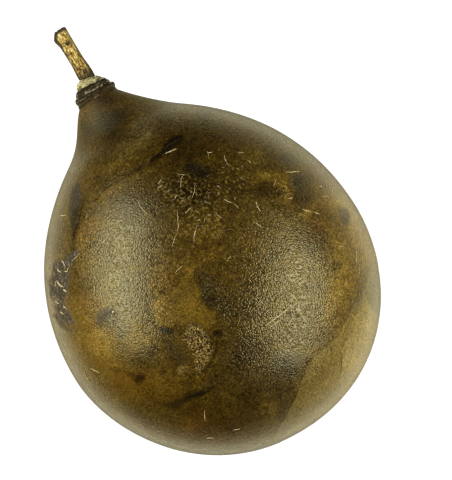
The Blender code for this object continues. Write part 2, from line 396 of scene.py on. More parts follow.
spots = [  # x, y, half length, half width, turn, hardness of the edge, amounts
    (-63, 12, 32, 13, 92, 0.1, {"tone": 0.45, "hue": 0.3, "grain": -0.8}),
    (-58, -16, 12, 8, 0, 0.3, {"tone": 0.05, "hue": 0.35, "grain": -0.5}),
    (-56, 35, 9, 4, 80, 0.3, {"tone": 0.08, "hue": 0.15, "grain": -0.4}),
    (-44, 0, 9, 7, 30, 0.2, {"tone": 0.22, "hue": -0.1}),
    (-49, 25, 9, 8, 0, 0.3, {"tone": 0.2, "hue": 0.2}),
    # Lighter and greyer where the left soft box's highlight falls: partly painted highlight.
    (-36, 38, 22, 15, 70, 0.0, {"tone": 0.2, "hue": -0.25, "grain": 0.5}),
    (-50, 62, 14, 6, 55, 0.3, {"tone": 0.1, "hue": -0.35}),
    (-22, 68, 10, 3.5, -6, 0.4, {"tone": 0.25, "hue": 0.15}),
    (-17, 67.5, 4, 2.6, 0, 0.3, {"tone": 0.25}),
    (-4, 67.5, 6, 2.6, 0, 0.4, {"tone": 0.25}),
    (-10, 79, 20, 7, 0, 0.2, {"tone": 0.12, "hue": -0.1}),
    (10, 83, 3.5, 2.5, 10, 0.2, {"tone": 0.35, "hue": -0.2}),
    (3, 80, 5, 3, 0, 0.2, {"tone": 0.2, "hue": -0.1}),
    (-8, 104.5, 6, 4, 0, 0.2, {"tone": 0.35, "hue": 0.0}),
    (6, 107, 4, 2.5, 0, 0.2, {"tone": 0.1, "hue": -0.4}),
    (-5, 97, 12, 7, -8, 0.2, {"tone": -0.62, "hue": 0.4, "grain": -0.3}),
    (14, 88, 12, 5, -35, 0.2, {"tone": -0.35, "hue": 0.2}),
    (0, 89, 34, 15, 0, 0.0, {"tone": -0.16}),
    (-2, 105, 12, 7, 0, 0.1, {"tone": -0.15, "hue": 0.2}),
    (26, 70, 20, 9, -30, 0.2, {"tone": -0.4, "hue": 0.1}),
    (18, 62, 12, 7, 0, 0.3, {"tone": -0.3}),
    (22, 55.0, 6.5, 3.4, -35, 0.3, {"tone": -0.45, "hue": -0.7}),
    (38, 58, 14, 11, -40, 0.2, {"tone": -0.3}),
    (24, 46, 18, 9, -20, 0.2, {"tone": -0.3, "scuff": 0.5}),
    (11, 38, 12, 14, 0, 0.2, {"scuff": 1.0, "tone": -0.1}),
    (6, 54, 10, 8, 0, 0.2, {"scuff": 1.0, "tone": -0.1}),
    (14, 38, 4, 3, 0, 0.4, {"tone": 0.22}),
    (14, 27, 9, 4.5, -15, 0.4, {"tone": 0.15, "scuff": 0.5}),
    (5, -12, 18, 20, 0, 0.0, {"tone": -0.12}),
    (34, 38, 10, 10, 0, 0.2, {"tone": -0.1, "scuff": 0.4}),
    (50, 36, 11, 2.6, -25, 0.3, {"tone": 0.35, "hue": 0.1}),
    (44, 32, 5, 3.6, -20, 0.4, {"tone": -0.45, "hue": 0.3}),
    (49, 28, 4, 3, -40, 0.4, {"tone": -0.35, "hue": 0.3}),
    (54.5, 29.5, 4, 2.6, -30, 0.3, {"tone": 0.45, "hue": 0.1}),
    (53, 24, 4, 2.5, 0, 0.3, {"tone": 0.3, "scuff": 0.6}),
    (61.5, 27, 5, 4.5, 0, 0.4, {"tone": -0.35, "hue": -0.9}),
    (60, 19, 4, 5, 0, 0.3, {"tone": -0.25, "hue": -0.5}),
    (57, 12, 3.2, 3, 0, 0.3, {"tone": 0.5, "hue": -0.2}),
    (47, 47, 4, 3, 0, 0.2, {"tone": 0.2, "hue": -0.1}),
    (57, 4, 12, 6, 60, 0.2, {"tone": 0.12, "hue": 0.35, "scuff": 0.3}),
    (52, -4, 5, 3, 20, 0.3, {"tone": -0.3, "hue": -0.5}),
    (64, -9, 7, 8, 0, 0.2, {"tone": 0.15, "scuff": 0.4}),
    (74, -6, 26, 6, 95, 0.1, {"tone": 0.5, "hue": 0.2}),
    (57, -12, 8, 14, 0, 0.1, {"tone": 0.15, "hue": 0.15}),
    (71.5, 1.5, 4.6, 2.2, 75, 0.5, {"tone": -0.55, "hue": -0.7, "scab": 0.25}),
    (55, -17, 3.5, 2.5, 0, 0.3, {"tone": -0.3, "hue": 0.2}),
    (50, -30, 14, 7, 35, 0.3, {"tone": 0.35, "hue": 0.2}),
    (62, -25, 7, 4, 60, 0.2, {"tone": -0.1, "hue": 0.3}),
    (38, -53, 10, 3, 10, 0.3, {"tone": 0.1, "hue": -0.1}),
    (24, -20, 30, 24, 70, 0.0, {"grain": 0.9, "tone": 0.05}),
    (-1, -1, 13, 5.5, 95, 0.5, {"tone": -0.05, "hue": -0.2, "grain": 0.8}),
    (-10, -34, 20, 12, 10, 0.1, {"tone": -0.15, "grain": 0.5}),
    (-37, 3, 11, 5, 15, 0.2, {"grain": 0.7}),
    (-42, -7, 6, 3.5, 0, 0.4, {"tone": -0.1, "hue": -0.4, "grain": 0.5}),
    (-31, -15.5, 5.6, 7.6, 15, 0.5, {"tone": -0.2, "hue": -0.35, "grain": -0.3}),
    (-29, -3.4, 3.0, 1.6, -35, 0.8, {"tone": -1.3, "hue": 0.8}),
    (-8, -17.2, 2.8, 1.7, -25, 0.6, {"tone": -0.6, "hue": 0.3}),
    (-46, -25, 14, 9, -30, 0.1, {"tone": 0.12, "hue": 0.45, "grain": -0.5}),
    (-40, -52, 15, 9, -35, 0.1, {"tone": -0.1, "hue": 0.6, "grain": -0.5}),
    (-24, -50, 22, 14, -15, 0.1, {"tone": -0.15, "hue": 0.2}),
    (-52, -17.5, 2.3, 2.2, -60, 0.4, {"tone": -0.6, "hue": 0.4}),
    (-42, -20.3, 1.6, 1.2, 0, 0.4, {"tone": -0.5}),
    (-37, -42, 5, 2.5, -10, 0.3, {"tone": -0.3, "hue": 0.4}),
    (-8, -55, 20, 9, -5, 0.1, {"tone": -0.2}),
    (4, -56, 8, 6, 45, 0.2, {"tone": -0.28, "hue": -0.1}),
    (1, -63, 6, 4, 30, 0.3, {"tone": -0.35}),
    (15, -45, 9, 5, -35, 0.4, {"tone": -0.1, "hue": -0.7, "grain": -0.8}),
    (-16, -66, 16, 4, -12, 0.2, {"tone": 0.1, "hue": -0.1}),
    (-50, 15.5, 6.0, 4.5, 25, 0.4, {"tone": -0.35, "hue": -0.4}),
    (-52.6, 16.8, 4.2, 2.8, 20, 0.5, {"tone": -0.45, "scab": 0.45}),
    (-46.7, 17.1, 1.9, 1.6, 25, 0.7, {"tone": -0.5, "scab": 0.5}),
    (-48, 6.5, 4, 3, 40, 0.4, {"tone": -0.25, "hue": -0.4}),
    (-36, 26.5, 4.5, 3, 30, 0.4, {"hue": -0.5}),
    (-32.5, -23.2, 3.4, 2.0, 0, 0.5, {"crust": 1.0, "depth": 0.1}),
    (-2, 107, 10, 4.5, 0, 0.1, {"tone": -0.3, "hue": 0.5}),
    (47, 36.5, 5, 1.6, -25, 0.3, {"tone": 0.25, "scuff": 0.7}),
    (54, 27, 6, 5, 0, 0.2, {"scuff": 1.2}),
    (56, 11, 6, 3, 0, 0.2, {"tone": 0.2, "scuff": 1.3}),
    (62, 38.5, 5, 3, -60, 0.3, {"tone": -0.25, "hue": -0.7}),
    (58, -14, 16, 18, 0, 0.0, {"scuff": 0.7}),
    (13, 34, 9, 7, 0, 0.1, {"scuff": 0.9}),
    (27, 20, 16, 8, 0, 0.0, {"scuff": 0.3}),
    (38, 46, 12, 12, 0, 0.0, {"scuff": 0.4}),
]

# Broad tone spots that bring the rind's brightness level: in part the rind's own tone, in part painted
# highlight where they lighten the edges of the soft boxes' reflections.
broadToneAndLight = [  # broad spots with the softest edge: x, y, half length, half width, turn, tone, hue
    (14, 88, 9, 11, 0, 0.36, -0.5), (27, 80, 8, 6, 0, 0.16, -0.3), (-2, 66, 8, 6, 0, -0.15, 0),
    (-29, 66, 7, 6, 0, -0.1, 0), (34, 60, 15, 9, -30, 0.1, 0), (-44, 50, 7, 7, 0, 0.12, 0),
    (13, 50, 9, 8, 0, -0.32, 0), (-58, 37, 7, 6, 0, -0.16, 0.1), (-44, 38, 6, 7, 0, 0.12, 0),
    (18, 24, 13, 7, 0, -0.22, 0), (47, 24, 10, 7, 0, 0.1, 0), (-58, 9, 7, 9, 0, 0.22, 0),
    (-16, 10, 8, 6, 0, -0.2, 0), (33, 9, 12, 7, 0, 0.12, 0), (-16, -18, 8, 7, 0, -0.2, 0),
    (-44, -27, 8, 10, 0, 0.16, 0), (0, -33, 11, 8, 0, -0.42, 0.2), (-2, -47, 7, 6, 0, -0.17, 0),
    (30, -46, 11, 8, 20, 0.06, 0), (-22, -61, 13, 6, -10, -0.16, 0), (33, -61, 12, 5, 20, 0.15, 0),
    (2, 80, 12, 8, 0, 0.14, 0), (0, 54, 19, 8, 0, -0.2, 0.2), (0, -17, 18, 8, 0, -0.13, 0.1),
    (42, 78, 7, 6, 0, -0.3, 0), (-16, 60, 8, 13, 0, -0.2, 0.2), (-2, 50, 7, 7, 0, -0.18, 0),
    (-58, 9, 6, 8, 0, 0.14, 0), (-44, -2, 7, 7, 0, 0.12, 0), (54, -4, 5, 7, 0, 0, 0.4),
    (10, -46, 9, 7, 0, -0.36, 0.1), (-2, -61, 7, 5, 0, 0.1, 0), (14, 90, 10, 8, -35, 0.12, 0),
    (34, 68, 16, 9, -35, 0.12, 0), (-43, 51, 6, 6, 0, 0.06, 0), (-58, -12, 7, 9, 0, 0.12, 0),
    (-44, -20, 8, 9, 0, 0.1, 0), (-44, -45, 8, 7, 30, 0.1, 0), (10, 90, 9, 8, 0, 0.14, -0.3),
    (-2, 84, 12, 8, 0, 0, -0.3), (42, 58, 16, 8, -45, 0.1, 0), (-58, 24, 6, 6, 0, 0.14, 0),
    (-2, -61, 7, 6, 0, 0.14, -0.3), (-43, -46, 9, 7, 40, 0.14, 0.15), (-28, -60, 8, 5, -20, 0, 0.6),
    (54, 1, 6, 13, 0, -0.42, 0.35), (38, -5, 8, 7, 0, 0.14, 0), (12, 39, 10, 8, 0, -0.22, 0),
    (33, 34, 15, 10, 0, -0.2, 0), (20, -4, 13, 8, 0, -0.1, 0), (69, 9, 5, 7, 0, 0.2, 0),
    (42, -57, 9, 6, 30, 0.12, 0), (66, -20, 6, 10, 0, 0.2, 0), (56, -46, 9, 6, 45, 0.18, 0),
]

strokes = [  # path of (x, y, half width), hardness of the edge, amounts
    ([(-33, 77, 2.6), (-36, 72, 3.2), (-41, 63.5, 2.2)], 0.6, {"tone": -0.45, "hue": -0.35}),
    ([(-33.5, 77, 2.4), (-35, 73.5, 2.6), (-38, 69, 2.0)], 0.8, {"tone": -0.3, "scab": 0.3}),
    ([(-43, 61, 1.2), (-46, 56, 1.6), (-49, 51, 2.0)], 0.4, {"tone": -0.45, "hue": 0.1}),
    ([(-47, 50.2, 0.8), (-53, 49.6, 1.9), (-58.5, 47, 3.8), (-62.5, 42.5, 4.6), (-65.5, 37, 3.4)],
     0.6, {"scab": 1.0, "tone": -0.9, "hue": -0.2, "depth": 0.25}),
    ([(-65.5, 37, 2.4), (-67.5, 32, 3.2), (-68, 28, 3.0), (-67.5, 24.5, 1.5)],
     0.6, {"scab": 0.9, "tone": -0.8, "depth": 0.2}),
    ([(-61, -7, 1.0), (-56, -12, 1.8), (-51, -18, 1.4)], 0.3, {"tone": -0.3, "hue": 0.2}),
    ([(-72, 30, 1.0), (-71, 23, 0.9), (-69.5, 19, 0.8)], 0.3, {"tone": -0.5, "scab": 0.5}),
    # The slit: a shallow groove whose near-black is painted shadow in the gap under the raised skin, with a
    # soft darker band along it.
    ([(5, 70.9, 0.25), (8, 71.4, 0.5), (10, 71.5, 0.2)], 0.6, {"tone": -1.2, "depth": 0.5}),
    ([(10.5, 71.8, 0.4), (13, 72.0, 1.2), (16, 72.4, 1.6), (19, 72.6, 1.4), (23.2, 73.0, 0.6)],
     0.7, {"tone": -1.5, "depth": 0.3}),
    ([(-4, 70.2, 1.6), (6, 70.4, 1.8), (14, 71.5, 2.4), (22, 72, 2.0)], 0.0, {"tone": -0.4, "hue": 0.3}),
    ([(-47, -33.4, 1.2), (-43, -35, 2.3), (-39.4, -36, 1.3), (-35, -35.8, 2.0), (-29, -37.2, 1.1)],
     0.4, {"tone": -0.55, "hue": -0.3}),
    ([(-34, -36.3, 1.6), (-27, -37.5, 1.2), (-21, -38, 0.8)], 0.2, {"tone": -0.2, "hue": -0.2}),
    ([(-75, 8, 2), (-72, -8, 3), (-66, -22, 2)], 0.1, {"grain": 0.6}),
]

patches = [  # outline of (x, y), width of the edge, amounts
    ([(-31, 5), (-29, 10), (-20, 11), (-12, 13), (-5, 17.5), (-2.5, 17), (-6, 12), (-6, 5), (-8, 0), (-5, -8),
      (-8, -12.5), (-12, -12.5), (-15, -8), (-22, -4.5), (-28, -3.5), (-32, 0)], 0.9,
     {"tone": 0.36, "hue": 0.05, "grain": -0.6}),
    ([(-3.5, 17), (1, 15.5), (5, 9), (4, 3), (8, -2), (6, -8), (1, -12), (-3, -13), (-5, -8), (-8, 0),
      (-6, 5), (-6, 12)], 2.0, {"tone": -0.12, "hue": -0.1, "grain": 0.3}),
    ([(-31, 5), (-27, 20), (-18, 24), (-8, 20), (-3, 17), (-12, 12), (-22, 9)],
     3.0, {"tone": 0.2, "hue": 0.25}),
    ([(-46, 56), (-42, 60), (-36, 61), (-32, 58), (-34, 54), (-40, 52.5), (-44, 53)],
     1.5, {"hue": 0.6, "tone": 0.05}),
    ([(27, -72), (31, -64), (36, -58), (38.5, -53), (44, -48.5), (51, -43.5), (57, -39.5), (61, -37),
      (61, -46), (64, -60), (40, -80)], 1.0, {"tone": 0.50, "hue": -0.3}),
    ([(-6, -76), (4, -64.5), (16, -55), (27, -49.2), (43, -45), (56, -38.2), (51, -43.5), (38.5, -53),
      (31, -64), (24, -76)], 1.5, {"tone": 0.3, "hue": -0.1}),
    ([(61.5, -38), (62, -34.5), (65, -31), (68, -29.5), (80, -33), (66, -56), (60.5, -50), (60, -45)],
     1.2, {"tone": 0.05, "hue": -0.8}),
    ([(-25, -10), (-22, -8.5), (-17, -7), (-13.5, -10), (-13, -15), (-14.5, -19), (-16, -23), (-20, -26.5),
      (-24, -28), (-27, -26), (-24, -22), (-22.5, -17), (-24, -14)],
     1.2, {"crust": 1.0, "tone": -0.35, "hue": 0.3, "depth": 0.12}),
]

peeledSkin = [(-9, -74), (-4, -69.5), (4, -64.5), (11, -59.5), (16, -55), (21, -51.5), (27, -49.2),
              (36, -47.6), (43, -45), (50, -41), (56, -38.2), (61, -35.5), (64, -32), (69, -29), (78, -26),
              (98, -40), (70, -95), (-6, -95)]

wear = {
    "raggedLong": (9.0, 1.8),  # pitch and reach of the marks' ragged edges, in mm
    "raggedShort": (3.0, 0.7),
    "raggedSeed": 2,
    "fade": 22,  # strokes and patches end this far below the axis
    "undersideMarks": 46,
    "undersideFrom": 12,  # where strewn marks begin below the axis
    "seed": 11,
    "peelStep": 0.12,
    "scabRoughness": (2.2, 0.35),  # pitch and height
}


def pointsOf(piece):
    flat = np.empty(len(piece.data.vertices) * 3, np.float32)
    piece.data.vertices.foreach_get("co", flat)
    return flat.reshape(-1, 3).astype(float) * 1000


def smooth(value):
    share = np.clip(value, 0.0, 1.0)
    return share * share * (3 - 2 * share)


def raggedPoints(points):
    noise.seed_set(wear["raggedSeed"])
    moved = points.copy()
    for pitch, reach in (wear["raggedLong"], wear["raggedShort"]):
        moved += np.array([noise.noise_vector(Vector(p / pitch)) for p in points]) * reach
    return moved


def fromSegment(plan, start, end):  # distance to a segment, and the share along it of the nearest point
    start, end = np.array(start, float), np.array(end, float)
    way = end - start
    share = np.clip((plan - start) @ way / (way @ way), 0.0, 1.0)
    return np.linalg.norm(plan - start - share[:, None] * way, axis=1), share


def insideBy(plan, outline):  # how far each point is inside an outline, negative outside
    nearest = np.full(len(plan), 1e9)
    inside = np.zeros(len(plan), bool)
    for start, end in zip(outline, outline[1:] + outline[:1]):
        nearest = np.minimum(nearest, fromSegment(plan, start, end)[0])
        if start[1] == end[1]:
            continue
        crossing = start[0] + (plan[:, 1] - start[1]) * (end[0] - start[0]) / (end[1] - start[1])
        spans = (start[1] > plan[:, 1]) != (end[1] > plan[:, 1])
        inside ^= spans & (plan[:, 0] < crossing)
    return np.where(inside, nearest, -nearest)


def spotShare(away, long, short, turn, hardness):
    run = away[:, 0] * math.cos(math.radians(turn)) + away[:, 1] * math.sin(math.radians(turn))
    rest = np.maximum((away ** 2).sum(1) - run ** 2, 0.0)
    reach = np.sqrt((run / long) ** 2 + rest / short ** 2)
    soft = 1.05 - hardness
    return smooth((1 + 0.6 * soft - reach) / (1.6 * soft))


def strokeShare(plan, path, hardness):
    best = np.full(len(plan), -1e9)
    for start, end in zip(path, path[1:]):
        away, share = fromSegment(plan, start[:2], end[:2])
        width = start[2] + (end[2] - start[2]) * share
        best = np.maximum(best, 1 - away / width)
    soft = 1.05 - hardness
    return smooth((best + 0.6 * soft) / (1.6 * soft))


def markRind(points):
    fields = {name: np.zeros(len(points)) for name in fieldNames}
    ragged = raggedPoints(points)
    belowAxis = np.minimum(points[:, 2] - axisHeight * 1000, 0.0)
    plan = seenPlan(ragged)
    fade = smooth(1 + belowAxis / wear["fade"])

    def add(share, amounts):
        for name, amount in amounts.items():
            fields[name] += amount * share

    broad = [(*row, 0.0, {"tone": tone, "hue": hue}) for *row, tone, hue in broadToneAndLight]
    for x, y, long, short, turn, hardness, amounts in spots + broad:
        away = np.column_stack((plan[:, 0] - x, plan[:, 1] - y, belowAxis * 0.5))
        add(spotShare(away, long, short, turn, hardness), amounts)
    for path, hardness, amounts in strokes:
        add(strokeShare(plan, path, hardness) * fade, amounts)
    for outline, edge, amounts in patches:
        add(smooth(insideBy(plan, outline) / edge + 0.5) * fade, amounts)

    dice = np.random.default_rng(wear["seed"])
    under = np.flatnonzero(points[:, 2] < axisHeight * 1000 - wear["undersideFrom"])
    for centre in points[dice.choice(under, wear["undersideMarks"])]:
        long, short = dice.uniform(5, 20), dice.uniform(3, 9)
        share = spotShare(ragged - centre, long, short, dice.uniform(0, 180), dice.uniform(0.1, 0.6))
        tone, hue, scuff = dice.uniform(-0.5, 0.5), dice.uniform(-0.7, 0.6), dice.uniform(0, 0.4)
        add(share, {"tone": tone, "hue": hue, "scuff": scuff})

    fields["scuff"] *= smooth((points[:, 2] - 3) / 6)
    fields["peel"] = insideBy(plan + belowAxis[:, None] * (0.25, 0.1), peeledSkin)
    fields["depth"] += wear["peelStep"] * smooth(fields["peel"] / 1.2 + 0.5)
    pitch, height = wear["scabRoughness"]
    rough = np.array([noise.noise(Vector(p / pitch)) for p in points]) * fields["scab"] * height
    fields["depth"] += np.maximum(rough, -fields["depth"])
    return fields


def wearIn(piece, fields):
    count = len(piece.data.vertices)
    normals = np.empty(count * 3, np.float32)
    piece.data.vertices.foreach_get("normal", normals)
    sunk = pointsOf(piece) - normals.reshape(-1, 3) * fields.pop("depth")[:, None]
    piece.data.vertices.foreach_set("co", (sunk * mm).astype(np.float32).ravel())
    for name, values in fields.items():
        field = piece.data.attributes.new(name, "FLOAT", "POINT")
        field.data.foreach_set("value", values.astype(np.float32))
    piece.data.update()


skin = {
    "tones": [(0.0, (0.004, 0.0023, 0.0005)), (0.25, (0.017, 0.0094, 0.0012)), (0.5, (0.043, 0.0240, 0.0023)),
              (0.75, (0.100, 0.059, 0.0053)), (1.0, (0.240, 0.160, 0.028))],
    "greyGreen": (0.87, 1.13, 4.2),  # colour factors at the two ends of the hue field
    "redBrown": (1.13, 0.85, 0.58),
    "bare": (0.108, 0.080, 0.021),  # under the peeled skin
    "golden": (0.21, 0.145, 0.028),  # specks where the skin is scuffed
    "scab": (0.022, 0.015, 0.010),
    "scabStreaks": (0.20, 0.15, 0.10),
    "crust": (0.22, 0.135, 0.030),
    "roughness": 0.29,
    "ior": 1.43,
    "gloss": (1.0, 0.915, 0.47),
    "grainPitch": 0.88,
    "poreSpacing": 1.25,
}


def rindMaterial():
    board = Surface("rind", skin["roughness"], skin["gloss"], skin["ior"])
    place = board.place
    grainField = board.field("grain")
    grain = grainField.held()
    calm = (-1 * grainField).held()
    scab = board.field("scab").held()
    crust = board.field("crust").held()
    bare = board.field("peel").ease(-0.35, 0.35)

    broad = board.noise(place, 15, 3, 0.5) - 0.5
    blotch = board.noise(place, 4.6, 4, 0.62, 0.6) - 0.5
    speck = board.noise(place, 1.3, 3, 0.65) - 0.5
    mottle = (blotch * 0.44 + speck * 0.90) * (1 - calm * 0.75 - bare * 0.3)
    light = board.field("tone") * 0.5 + 0.5 + broad * 0.40 + mottle
    colour = board.ramp(skin["tones"], light)

    hue = board.field("hue") + (board.noise(board.stretch(place, (1, 1, 1.3)), 8, 3, 0.6) - 0.5) * 0.8
    green = board.mix((-1 * hue).ease(0.0, 1.0), (1, 1, 1), skin["greyGreen"])
    red = board.mix(hue.ease(0.0, 1.0), (1, 1, 1), skin["redBrown"])
    colour = board.tinted(board.tinted(colour, green), red)

    bareTone = board.noise(board.stretch(place, (0.7, 1.2, 1)), 5, 5, 0.65) * 1.3 + 0.35
    colour = board.mix(bare * 0.32, colour, board.tinted(board.grey(bareTone), skin["bare"]))

    leather = board.cells(place, skin["grainPitch"]).ease(0.10, 0.70)
    fine = board.noise(place, 0.75, 1, 0.6)
    pores = board.cells(place, skin["poreSpacing"]).ease(0.10, 0.55)
    pitShade = 1.32 - (1 - pores) * (grain * 0.6 + 0.15) - leather * 0.5
    pitShade = pitShade + (fine - 0.5) * 2.5 * (1 - calm * 0.4)
    dots = board.cells(place, 3.4).ease(0.05, 0.17)
    pitShade = (pitShade * (dots * 0.6 + 0.4)).atLeast(0.05)
    colour = board.tinted(colour, board.grey(pitShade))

    golden = board.noise(place, 1.35, 2, 0.6).ease(0.54, 0.64) * board.field("scuff").held()
    colour = board.mix(golden * 0.42, colour, skin["golden"])

    streak = board.noise(board.stretch(place, (1.0, 0.6, 1)), 1.5, 4, 0.75).ease(0.53, 0.62)
    scabColour = board.mix(streak * 0.75, skin["scab"], skin["scabStreaks"])
    colour = board.mix(scab * 0.9, colour, scabColour)

    flecks = board.noise(place, 0.9, 3, 0.65).ease(0.50, 0.58)
    colour = board.mix(crust * flecks * 0.85, colour, skin["crust"])
    board.feed("Base Color", colour)

    slit = (-1 * board.field("tone")).ease(0.8, 1.3)
    rough = blotch * 0.3 + (scab * 1.5 + crust * 0.3 + slit * 0.3) * 0.32 + place.part(1).ease(84, 98) * 0.30
    rough = (rough + skin["roughness"]).atLeast(0.15)
    board.feed("Roughness", rough)
    height = pores * (grain * 0.08 + 0.015) - leather * (0.072 + grain * 0.076)
    height = height + fine * 0.08 + blotch * 0.10 + dots * 0.08
    height = height + speck * scab * 0.6 + flecks * crust * 0.15
    board.bump(height)
    return board.material


rind = turned("gourdRind", gourdOutline(), gourd, gourdRule, gourdRelief, rindMaterial())
print("rind grown,", len(rind.data.vertices), "points")
wearIn(rind, markRind(pointsOf(rind)))
print("rind marked")


# Scratches and thin lines that follow the rind

scratches = {
    "perSquareMetre": 110000.0,  # where the scuff field is 1
    "onScab": 3.5,  # how much denser on scabs
    "lengths": (0.5 * mm, 2.4 * mm),
    "girths": (0.06 * mm, 0.15 * mm),
    "seed": 5,
    "step": 0.35 * mm,
    "wander": 0.45 * mm,
    "pale": (0.50, 0.42, 0.21),
    "dark": (0.010, 0.006, 0.002),
}

paleScratches = [  # paths of (x, y) in mm, half width in mm
    ([(-10.2, 57.5), (-10.6, 54), (-9.8, 50), (-9.0, 48.6)], 0.2),
    ([(10.5, 52), (13, 56), (15.5, 57)], 0.16), ([(12, 45), (15, 47), (18, 51)], 0.13),
    ([(4, 44.5), (2.5, 41), (0.5, 37), (-1.5, 34.5)], 0.17), ([(3, 26.5), (4.5, 29), (8.5, 33)], 0.19),
    ([(38, 23), (37.8, 26), (38.6, 29)], 0.18), ([(36, 50), (35.6, 53), (36.6, 56)], 0.13),
    ([(57.5, 34), (60, 32.4), (64, 30.4)], 0.18), ([(52, 22.7), (53.5, 21.8), (55.5, 21.6)], 0.16),
    ([(68, 20), (69.5, 19)], 0.14), ([(70, 12), (72, 14.6), (75, 17.2)], 0.13),
    ([(60, 10.4), (61.8, 8)], 0.18), ([(25.6, 37.5), (27.5, 34.4), (28.6, 33.6)], 0.18),
    ([(33, 20.4), (35, 16.2)], 0.14), ([(12, 11), (15.5, 12.2)], 0.14),
    ([(30, 60.2), (32.6, 59.4)], 0.18), ([(45, 48), (45.6, 45.4)], 0.12),
    ([(-46, 69.6), (-43.6, 68.2)], 0.26), ([(-36, 62), (-34, 63.8)], 0.2),
    ([(-50, 29.6), (-48.6, 31.5), (-47.8, 33)], 0.22), ([(-12.5, 18.4), (-7, 19.8)], 0.12),
    ([(-70, -0.5), (-68.6, -2.6), (-67, -5)], 0.2), ([(-35, -50.2), (-34, -47.6), (-32.8, -45.6)], 0.2),
    ([(-39, -57.4), (-37, -58), (-35.2, -59.4)], 0.2), ([(-25.6, -60.4), (-22.4, -61.6)], 0.18),
    ([(64.6, -22), (67, -18), (68.6, -14.6)], 0.13), ([(12.8, -25.0), (19, -24.2), (26.7, -23.2)], 0.27),
    ([(12.8, -26.8), (17, -26.4), (22.2, -25.8)], 0.2), ([(66, -26), (69, -20), (72, -13)], 0.1),
    ([(63, -27), (65.4, -23.4), (67, -19.6)], 0.1), ([(70, -22.4), (72.4, -16)], 0.09),
    ([(2, 59), (5, 60.5)], 0.18), ([(0.5, 57.5), (3.6, 57.8)], 0.14), ([(5.5, 49), (7.4, 50.6)], 0.18),
    # The pale line from (12, 70.2), under the slit, is partly a pale scratch and partly painted highlight on
    # the raised skin's lip.
    ([(6, 40.5), (10.5, 41.8)], 0.15), ([(12, 70.2), (15, 69.8), (18.6, 69.5)], 0.25),
    ([(-1.5, 34.5), (-4.6, 32.4), (-7.2, 29.8)], 0.11), ([(12.6, 58.6), (16.2, 56.2)], 0.11),
    ([(4.2, 53.8), (5.8, 54.3)], 0.14), ([(28.7, 33.4), (30, 29.4)], 0.12),
    ([(29.6, 58.2), (30.5, 61.2)], 0.1), ([(19, 33), (20.5, 29.8)], 0.11),
    ([(16.8, 41.2), (19.4, 38.4)], 0.1), ([(9.5, 35.2), (11.4, 34.2)], 0.14),
    ([(12.2, 32.6), (13.6, 34.4)], 0.13), ([(14.8, 35.0), (16.8, 33.8)], 0.12),
    ([(-56.2, 50.8), (-55.6, 49.2), (-56.0, 47.6)], 0.38), ([(-59.8, 48.4), (-59.0, 45.4)], 0.34),
    ([(-57.6, 45.8), (-56.4, 44.6), (-54.6, 46.4)], 0.3),
    ([(-62.8, 43.8), (-62.4, 40.6), (-61.2, 39.0)], 0.5), ([(-62.2, 38.4), (-61.4, 36.4)], 0.6),
    ([(-64.8, 41.2), (-63.6, 43.4)], 0.28), ([(-52.0, 48.2), (-49.2, 48.4), (-46.8, 49.4)], 0.2),
    ([(-68.2, 35.4), (-67.2, 33.2)], 0.3), ([(-68.6, 30.2), (-67.8, 27.6)], 0.34),
    ([(-66.4, 31.4), (-65.4, 29.6)], 0.22), ([(-47.3, 16.9), (-46.2, 17.3)], 0.75),
    ([(-72.8, -0.2), (-73.8, -3.4), (-73.0, -6.6)], 0.2), ([(49.4, 30.6), (52.4, 33.4)], 0.14),
    ([(55.4, 14.6), (58.8, 11.2)], 0.2), ([(66.6, 15.2), (70, 13.4)], 0.12),
    ([(72, 20.4), (70.4, 17.0), (69.8, 12.8)], 0.1), ([(42.4, 53.6), (45.4, 51.4)], 0.1),
    ([(40.4, 8.2), (42.2, 10.4)], 0.1),
]

darkLines = [
    ([(-30, 68), (-27, 67.6), (-22, 69.6), (-17, 70.3), (-11, 70)], 0.13),
    # The slit's thick dark lines are painted shadow in the gap under the raised skin.
    ([(-11, 70), (-4, 70.3), (5, 70.8)], 0.16), ([(4.5, 70.8), (7, 71.5), (9.5, 71.3)], 0.4),
    ([(10, 71.6), (13, 72.0), (16, 72.5), (19, 72.4), (23, 72.9)], 0.9),
    ([(11.5, 71.1), (15, 71.3), (20, 71.9)], 0.4),
    ([(3.5, 42.8), (6, 42.0), (9, 42.6), (12.4, 43.2)], 0.28),
    ([(-30, -27.5), (-27, -28.8), (-22, -28.6), (-18, -27), (-14, -24), (-11, -19.5), (-8, -16)], 0.24),
    ([(-31, 71), (-35, 67.5), (-40, 62), (-44.5, 59), (-47, 54)], 0.25),
    ([(-4, -69.3), (4, -64.3), (11, -59.3), (16, -54.8), (21, -51.3)], 0.14),
    ([(30, -65), (35.5, -58.4), (38, -53.4), (43.5, -49)], 0.12),
]


def trackMaterial():
    board = Surface("scratches", 0.7, skin["gloss"], mirror=0.06)
    shade = board.noise(board.place, 0.8, 2) * 0.7 + 0.6
    pale = board.tinted(board.grey(shade), scratches["pale"])
    board.feed("Base Color", board.mix(board.field("tint"), scratches["dark"], pale))
    return board.material


def trackLines(target):
    places, edges, girths, tints = [], [], [], []
    for lines, tint in ((paleScratches, 1.0), (darkLines, 0.0)):
        for path, girth in lines:
            for i, (x, y) in enumerate(path):
                if i:
                    edges.append((len(places) - 1, len(places)))
                places.append(onTop(target, x, y))
                girths.append(girth * mm)
                tints.append(tint)
    mesh = bpy.data.meshes.new("track lines")
    mesh.from_pydata(places, edges, [])
    for name, values in (("girth", girths), ("tint", tints)):
        mesh.attributes.new(name, "FLOAT", "POINT").data.foreach_set("value", values)
    return addObject("track lines", mesh)


